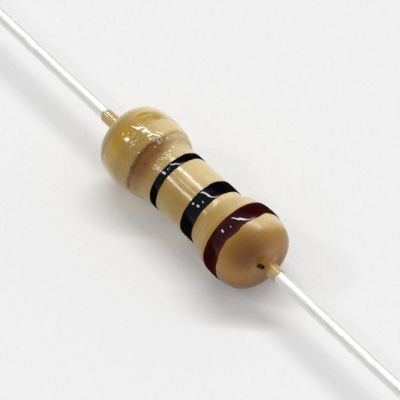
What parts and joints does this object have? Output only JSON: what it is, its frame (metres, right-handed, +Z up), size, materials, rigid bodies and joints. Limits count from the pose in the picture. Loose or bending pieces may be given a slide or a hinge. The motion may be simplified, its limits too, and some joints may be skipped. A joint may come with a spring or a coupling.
{
  "type": "axial resistor",
  "caption": "Small axial-lead resistor: dog-bone body in glossy tan coating with brown, black, black and gold colour bands, and a straight tinned wire out of each end.",
  "frame": {"origin": "on the axis, halfway between the two wire tips, which is the middle of the body", "axes": "+X along the axis towards the brown band and its wire, +Z up, +Y to the back"},
  "size_m": [0.0584, 0.0026, 0.0026],
  "materials": {
    "core_ceramic": "matt, unglazed",
    "film_carbon": "thin dark carbon layer, slightly grey",
    "cap_steel": "pressed and tin plated",
    "lead_tinned": "bright tinned wire with fine drawing lines",
    "coating_tan": "glossy dipped lacquer, slightly lumpy",
    "paint_brown": "glossy dark brown paint ring",
    "paint_black": "glossy black paint ring",
    "paint_gold": "thin patchy gold paint ring"
  },
  "bodies": {
    "root": {"ceramic_core": "core_ceramic", "carbon_film": "film_carbon", "cap_brown_side": "cap_steel", "cap_gold_side": "cap_steel", "lead_brown_side": "lead_tinned", "lead_gold_side": "lead_tinned", "coating": "coating_tan", "band_brown": "paint_brown", "band_black_wide": "paint_black", "band_black_narrow": "paint_black", "band_gold": "paint_gold"}
  },
  "joints": []
}
